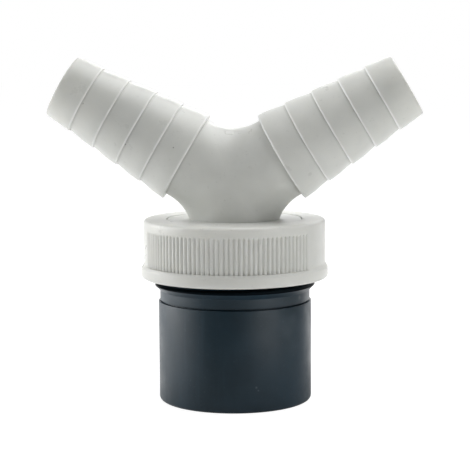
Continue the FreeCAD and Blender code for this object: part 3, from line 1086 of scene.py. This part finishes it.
@dataclass
class HoseTail(Fitting):
    """Wye with two barbed arms, rolled blends, a shoulder, a flange and three water ways.

    A barb's slope has a row near its middle, at a share of its length. The neck's outside is
    worked out to a reach under the centre and cut at the shoulder. Its bore narrows to the arms'
    width between two depths under the centre, and goes up plain to the third, from where it
    runs to the seams.
    """

    name: str = "twin_barbed_wye"
    node: str = "twin_hose_tail"
    body: Body = Body.TAIL
    slot: Slot = Slot.WHITE
    centre: float = 56.6
    radius: float = 11.0
    crotch_ball: float = 12.5
    underarm_ball: float = 12.0
    slope: float = 30.0
    barb_root: float = 14.2476
    barb_pitch: float = 7.45
    barb_count: int = 5
    root_radius: float = 12.45
    growth: float = 0.76
    step: float = 0.45
    barb_edge: float = 0.36
    barb_middle: float = 0.45
    tip_wall: float = 1.9
    tip_edge: float = 0.5
    shoulder: float = 17.50
    shoulder_top: float = 47.6
    flange: float = 19.0
    flange_foot: float = 42.7
    flange_top: float = 45.2
    hollow: float = 14.5
    hollow_top: float = 44.9
    neck_bore: float = 8.0
    flange_chamfer: float = 0.6
    neck_reach: float = 20.0
    bore_depths: tuple[float, float, float] = (6.0, 4.75, 4.4)
    arm_rows: int = 26
    neck_rows: int = 120
    dense_rows: int = 200
    kept_rows: int = 30
    marks: tuple[Mark, ...] = (
        Mark((-27.1, -9.7, 67.6), 0.28), Mark((-14.6, -12.0, 66.9), 0.25),
        Mark((-37.9, -9.1, 78.0), 0.25, 0.5), Mark((-42.6, -3.0, 71.1), 0.3, 0.6),
        Mark((13.8, -12.2, 62.1), 0.6, 0.12), Mark((14.4, -12.0, 61.7), 0.6, 0.16),
        Mark((15.0, -11.8, 61.2), 0.5, 0.12), Mark((19.9, -9.5, 59.9), 0.7, 0.16))

    def middle(self) -> np.ndarray:
        """The point where the three axes meet."""
        return np.array([0.0, 0.0, self.centre])

    def arm_bore(self) -> float:
        """Radius of the arms' water ways: the tip's radius less its wall."""
        return self.root_radius - self.barb_count * self.growth - self.tip_wall

    def arm(self, side: Side) -> Branch:
        """Directions of an arm: it leans up from the horizontal by its slope.

        Args:
            side: which arm.

        Returns:
            The arm's axis, the direction towards the other arm, and the blends' middles.
        """
        across = side.value * math.cos(math.radians(self.slope))
        up = math.sin(math.radians(self.slope))
        return Branch((across, 0.0, up), (-side.value * up, 0.0, abs(across)),
                      ((0.0, 0.0, 1.0), (across, 0.0, -up)),
                      (self.crotch_ball, self.underarm_ball))

    def neck(self) -> Branch:
        """Directions of the neck, which points down between the arms.

        Returns:
            The neck's axis, the direction towards the right arm, and the blends' middles.
        """
        right, left = self.arm(Side.RIGHT).middles[1], self.arm(Side.LEFT).middles[1]
        return Branch((0.0, 0.0, -1.0), (1.0, 0.0, 0.0), (right, left),
                      (self.underarm_ball, self.underarm_ball))

    def outward(self, branch: Branch, angles: np.ndarray) -> np.ndarray:
        """Directions square to a branch's axis: cosine towards one side plus sine along Y."""
        return (np.cos(angles)[:, None] * np.array(branch.towards)
                + np.sin(angles)[:, None] * Y_AXIS)

    def on_branch(self, branch: Branch, angles: np.ndarray, along: np.ndarray,
                  radius: np.ndarray) -> np.ndarray:
        """Place points on a branch: the middle plus the distance along plus the radius outward.

        Args:
            branch: which branch.
            angles: the columns' angles.
            along: distance from the middle, rows by columns or a number a row.
            radius: distance from the axis, in the same form.

        Returns:
            A grid of points, rows by columns.
        """
        return (self.middle() + along[..., None] * np.array(branch.axis)
                + radius[..., None] * self.outward(branch, angles)[None])

    def blend(self, branch: Branch, angles: np.ndarray, rows: int) -> np.ndarray:
        """Roll a ball in the corners between a branch and its neighbours.

        The ball touches both branches, so its centre lies at the radius plus the ball's from each
        axis: on an ellipse in the plane between them, with half axes of that reach over the
        cosine of 30 degrees and of the reach along Y. The skin is the ball's arc from that plane,
        square to the ellipse, to the foot of the ball's centre on the branch's axis.

        Args:
            branch: which branch.
            angles: the columns' angles.
            rows: points on each arc.

        Returns:
            A grid of points, rows by columns, that starts in the planes between the branches.
        """
        cosine, sine = np.abs(np.cos(angles))[:, None], np.sin(angles)[:, None]
        first = (np.cos(angles) >= 0)[:, None]
        ball = np.where(first, *branch.balls)
        plane = np.where(first, *(np.array(middle)[None] for middle in branch.middles))
        reach = self.radius + ball
        long_half = reach / math.cos(math.radians(30))
        centre = self.middle() + long_half * cosine * plane + reach * sine * Y_AXIS
        normal = reach * cosine * plane + long_half * sine * Y_AXIS
        start = -normal / np.linalg.norm(normal, axis=1, keepdims=True)
        along = reach * math.tan(math.radians(30)) * cosine
        end = (self.middle() + along * np.array(branch.axis) - centre) / reach
        aligned = np.clip(np.sum(start * end, axis=1, keepdims=True), -1.0, 1.0)
        turn = np.arccos(aligned)
        swept = turn[None] * np.linspace(0.0, 1.0, rows)[:, None, None]
        across = (end - start * aligned) / np.maximum(np.sin(turn), 1e-9)
        return centre[None] + ball[None] * (np.cos(swept) * start[None]
                                            + np.sin(swept) * across[None])

    def bore_seam(self, branch: Branch, angles: np.ndarray) -> np.ndarray:
        """Where a branch's bore meets its neighbours' equal bores.

        The distance along the axis is the bore's radius times the tangent of 30 degrees times
        the size of the angle's cosine.

        Args:
            branch: which branch.
            angles: the columns' angles.

        Returns:
            One row of points.
        """
        radius = np.full((1, len(angles)), self.arm_bore())
        along = radius * math.tan(math.radians(30)) * np.abs(np.cos(angles))
        return self.on_branch(branch, angles, along, radius)[0]

    def barbs(self) -> np.ndarray:
        """Outline of an arm's barbs, tip and bore mouth, as distance along and radius.

        Returns:
            The outline's points.
        """
        corners = [(self.barb_root - 0.3, self.radius, 0), (self.barb_root, self.radius, 0.1)]
        for number in range(self.barb_count):
            big = self.root_radius - number * self.growth
            along = self.barb_root + number * self.barb_pitch
            corners.append((along, big, self.barb_edge))
            corners.append((along + self.barb_middle * self.barb_pitch,
                            big - self.barb_middle * self.growth, 0))
            if number < self.barb_count - 1:
                corners.append((along + self.barb_pitch, big - self.growth - self.step, 0.07))
        tip = self.barb_root + self.barb_count * self.barb_pitch
        corners += [(tip, self.arm_bore() + self.tip_wall, self.tip_edge),
                    (tip, self.arm_bore(), 0.3), (tip - 2.0, self.arm_bore(), 0)]
        return rounded(corners)

    def arm_grid(self, side: Side, angles: np.ndarray) -> np.ndarray:
        """One arm as a single grid, from its outer seams, over the tip, to its inner seams.

        Args:
            side: which arm.
            angles: the columns' angles.

        Returns:
            A grid of points, rows by columns.
        """
        branch = self.arm(side)
        skin = self.blend(branch, angles, self.arm_rows)
        outline = self.barbs()
        along = np.broadcast_to(outline[:, 0, None], (len(outline), len(angles)))
        barbed = self.on_branch(branch, angles, along,
                                np.broadcast_to(outline[:, 1, None], along.shape))
        seam = self.bore_seam(branch, angles)
        return np.concatenate([skin, between(skin[-1], barbed[0], 5)[1:-1], barbed,
                               between(barbed[-1], seam, 12)[1:]])

    def neck_grid(self, angles: np.ndarray) -> np.ndarray:
        """The neck, shoulder, flange and water way as a single grid, seam to seam.

        Args:
            angles: the columns' angles.

        Returns:
            A grid of points, rows by columns.
        """
        branch = self.neck()
        blend = self.blend(branch, angles, self.neck_rows)
        plain = self.on_branch(branch, angles, np.full((1, len(angles)), self.neck_reach),
                               np.full((1, len(angles)), self.radius))
        dense = np.concatenate([blend, between(blend[-1], plain[0], self.dense_rows)[1:]])
        skin = self.cut_at(dense, self.shoulder_top, self.kept_rows)
        wide, narrow, seams = (self.centre - depth for depth in self.bore_depths)
        under = turned(rounded([
            (self.shoulder - 0.5, self.shoulder_top, 0), (self.shoulder, self.shoulder_top, 0.22),
            (self.shoulder, self.flange_top, 0.1), (self.flange, self.flange_top, 0.2),
            (self.flange, self.flange_foot + self.flange_chamfer, 0.1),
            (self.flange - self.flange_chamfer, self.flange_foot, 0.1),
            (self.hollow, self.flange_foot, 0.15),
            (self.hollow, self.hollow_top, 0.4), (self.neck_bore, self.hollow_top, 0.3),
            (self.neck_bore, wide, 0.2), (self.arm_bore(), narrow, 0.2),
            (self.arm_bore(), seams, 0)]), angles)
        seam = self.bore_seam(branch, angles)
        return np.concatenate([skin, between(skin[-1], under[0], 4)[1:-1], under,
                               between(under[-1], seam, 4)[1:]])

    def cut_at(self, dense: np.ndarray, height: float, rows: int) -> np.ndarray:
        """Cut columns that run down at a height, and space their points evenly again.

        Each column's length is summed from point to point. The length at the cut, and then each
        even share of it, is found between two of those points by straight proportion.

        Args:
            dense: rows by columns by three, closely spaced.
            height: where to cut.
            rows: points to keep in each column.

        Returns:
            A grid of points whose last row lies at the height.
        """
        steps = np.linalg.norm(np.diff(dense, axis=0), axis=2)
        run = np.vstack([np.zeros(dense.shape[1]), np.cumsum(steps, axis=0)])
        level = dense[:, :, 2]
        last = np.argmax(level < height, axis=0)
        columns = np.arange(dense.shape[1])
        above, below = level[last - 1, columns], level[last, columns]
        share = (above - height) / (above - below)
        stop = run[last - 1, columns] * (1 - share) + run[last, columns] * share
        wanted = np.linspace(0.0, 1.0, rows)[:, None] * stop
        after = np.sum(run[None] < wanted[:, None], axis=1).clip(1, len(run) - 1)
        length = np.maximum(run[after, columns] - run[after - 1, columns], 1e-9)
        part = np.clip((wanted - run[after - 1, columns]) / length, 0.0, 1.0)[..., None]
        return dense[after - 1, columns] * (1 - part) + dense[after, columns] * part

    def build(self) -> None:
        """Make the three grids, which share their seams, as one closed skin."""
        angles = ring_angles(COLUMNS)
        skin = Skin()
        for side in Side:
            skin.add_grid(self.arm_grid(side, angles))
        skin.add_grid(self.neck_grid(angles))
        edges = Rings(self.centre, self.slope, self.barb_root, self.barb_pitch)
        finish = MouldedWhite("moulded_white_tail", rings=edges, gate=Gate(), marks=self.marks)
        self.hand_over(skin.build(self.name), finish.build())


@dataclass(frozen=True)
class Floor:
    """Large flat floor: white with a shadow to the camera, faintly glowing paper to soft light.

    Reflections see it white behind a slanted line and dark on the camera's side of it, with a
    weaker glow aside, on the right, that sinks behind the fitting. The stronger of the two
    counts. Lengths are in metres.
    """

    half_side: float = 4.0
    paper: tuple[float, float, float] = (0.88, 0.88, 0.88)
    lift: float = 0.08
    shaded: tuple[float, float, float] = (0.28, 0.28, 0.28)
    glow: float = 0.90
    slant: float = -0.72
    behind: Fade = Fade(-0.05, 0.05, 0.0, 0.90)
    aside: Fade = Fade(0.02, 0.12, 0.0, 0.62)
    ahead: Fade = Fade(-0.06, 0.04, 1.0, 0.3)

    def build(self) -> None:
        """Lay the floor."""
        mesh = bpy.data.meshes.new("studio_floor")
        side = self.half_side
        corners = [(-side, -side, 0.0), (side, -side, 0.0), (side, side, 0.0), (-side, side, 0.0)]
        mesh.from_pydata(corners, [], [(0, 1, 2, 3)])
        mesh.materials.append(self.material())
        floor = bpy.data.objects.new("studio_floor", mesh)
        bpy.context.scene.collection.objects.link(floor)

    def material(self) -> bpy.types.Material:
        """Make the floor's material, with a part for soft light and one for rays that see.

        Returns:
            The finished material.
        """
        material = bpy.data.materials.new("pale_floor")
        material.use_nodes = True
        graph = Graph(material.node_tree)
        path = graph.add("LightPath").outputs
        paper = graph.joined("AddShader", graph.joined("BsdfDiffuse", self.paper),
                             graph.add("Emission", Strength=self.lift).outputs[0])
        level = graph.mixed(path["Is Camera Ray"], self.mirrored(graph), self.glow, Blend.NUMBER)
        white = graph.joined("AddShader", graph.joined("BsdfDiffuse", self.shaded),
                             graph.add("Emission", Strength=level).outputs[0])
        seen = graph.maths("MAXIMUM", path["Is Camera Ray"], path["Is Glossy Ray"])
        seen = graph.maths("MAXIMUM", seen, path["Is Transmission Ray"])
        graph.add("OutputMaterial", Surface=graph.joined("MixShader", seen, paper, white))
        return material

    def mirrored(self, graph: Graph) -> bpy.types.NodeSocket:
        """Work out how strongly reflections see the floor glow.

        Args:
            graph: the material to add it to.

        Returns:
            The glow at each place.
        """
        east, north, _ = graph.axes()
        aside = graph.maths("MULTIPLY", graph.faded(east, self.aside),
                            graph.faded(north, self.ahead))
        return graph.maths("MAXIMUM", graph.faded(graph.slanted(self.slant), self.behind), aside)


@dataclass(frozen=True)
class Surround:
    """Surround that is white to look at, and lights the fitting like a tent open in front.

    Its light fades towards the camera's side, and a little to the right. What glossy surfaces
    reflect of it fades in the same way, along a slanted line, and more to the right.
    """

    front: Fade = Fade(-0.95, 0.05)
    soft: Fade = Fade(0.0, 1.0, 0.06, 0.50)
    soft_right: Fade = Fade(-0.2, 0.9, 1.0, 0.65)
    slant: float = -0.35
    glossy: Fade = Fade(0.0, 1.0, 0.03, 1.0)
    glossy_right: Fade = Fade(-0.1, 0.85, 1.0, 0.20)

    def build(self) -> None:
        """Make the world, by the direction that a ray leaves in."""
        world = bpy.data.worlds.new("studio_surround")
        world.use_nodes = True
        bpy.context.scene.world = world
        graph = Graph(world.node_tree, "Generated")
        path = graph.add("LightPath").outputs
        east, north, _ = graph.axes()
        soft = graph.faded(graph.faded(north, self.front), self.soft)
        soft = graph.maths("MULTIPLY", soft, graph.faded(east, self.soft_right))
        glossy = graph.faded(graph.faded(graph.slanted(self.slant), self.front), self.glossy)
        glossy = graph.maths("MULTIPLY", glossy, graph.faded(east, self.glossy_right))
        level = graph.mixed(path["Is Glossy Ray"], soft, glossy, Blend.NUMBER)
        for ray in ("Is Transmission Ray", "Is Camera Ray"):
            level = graph.mixed(path[ray], level, 1.0, Blend.NUMBER)
        back = graph.add("Background", Color=(1.0, 1.0, 1.0), Strength=level)
        graph.add("OutputWorld", Surface=back.outputs[0])


@dataclass(frozen=True)
class Lamp:
    """Soft rectangular lamp: where it hangs and its width and height in metres, and its watts."""

    name: str
    place: tuple[float, float, float]
    size: tuple[float, float]
    power: float

    def build(self, aim: Vector) -> None:
        """Hang the lamp.

        Args:
            aim: what it points at, in metres.
        """
        lamp = bpy.data.lights.new(self.name, "AREA")
        lamp.shape = "RECTANGLE"
        lamp.size, lamp.size_y = self.size
        lamp.energy = self.power
        holder = bpy.data.objects.new(self.name, lamp)
        holder.location = self.place
        holder.rotation_euler = (aim - Vector(self.place)).to_track_quat("-Z", "Y").to_euler()
        bpy.context.scene.collection.objects.link(holder)


@dataclass(frozen=True)
class Camera:
    """The photograph's camera, in metres and degrees.

    Its focal length and picture are in pixels, and its sensor in millimetres.
    """

    distance: float = 0.400
    height: float = 0.0905
    azimuth: float = 3.7
    pitch: float = 6.74
    yaw: float = -0.018
    roll: float = 0.35
    focal: float = 1538.0
    picture: float = 470.0
    sensor: float = 36.0

    def build(self) -> None:
        """Stand the camera at the photograph's viewing angle.

        It looks down by the pitch and round by the azimuth and yaw, and is then rolled about its
        own line of sight.
        """
        camera = bpy.data.cameras.new("photo_camera")
        camera.sensor_width = self.sensor
        camera.lens = self.focal / self.picture * self.sensor
        holder = bpy.data.objects.new("photo_camera", camera)
        turn = math.radians(self.azimuth)
        place = Vector((math.sin(turn) * self.distance, -math.cos(turn) * self.distance,
                        self.height))
        level = Matrix.Rotation(turn + math.radians(self.yaw), 4, "Z")
        tilt = Matrix.Rotation(math.radians(90.0 - self.pitch), 4, "X")
        lean = Matrix.Rotation(-math.radians(self.roll), 4, "Z")
        holder.matrix_world = Matrix.Translation(place) @ level @ tilt @ lean
        bpy.context.scene.collection.objects.link(holder)
        bpy.context.scene.camera = holder


@dataclass(frozen=True)
class Studio:
    """Everything that isn't part of the fitting. The lamps point at a height over the origin."""

    floor: Floor = Floor()
    surround: Surround = Surround()
    lamps: tuple[Lamp, ...] = (
        Lamp("top_softbox", (0.22, 0.10, 0.66), (0.6, 0.6), 3.1),
        Lamp("left_softbox", (-0.62, 0.10, 0.12), (0.55, 0.5), 3.1),
        Lamp("right_softbox", (0.44, -0.34, 0.10), (0.30, 0.3), 0.50),
        Lamp("back_softbox", (0.20, 0.50, 0.36), (0.6, 0.25), 0.9))
    aim: float = 0.046
    camera: Camera = Camera()

    def build(self) -> None:
        """Set up the floor, the surround, the lamps and the camera."""
        bpy.context.scene.view_settings.view_transform = "Standard"
        self.floor.build()
        self.surround.build()
        for lamp in self.lamps:
            lamp.build(Vector((0.0, 0.0, self.aim)))
        self.camera.build()


def main() -> None:
    """Build the pieces in order, from the spigot up, and then the studio."""
    logging.basicConfig(level=logging.INFO, format="%(name)s: %(message)s")
    for piece in (Spigot(), Washer(), UnionNut(), HoseTail()):
        piece.build()
        LOG.info("%s built", piece.name)
    Studio().build()


if __name__ == "__main__":
    main()
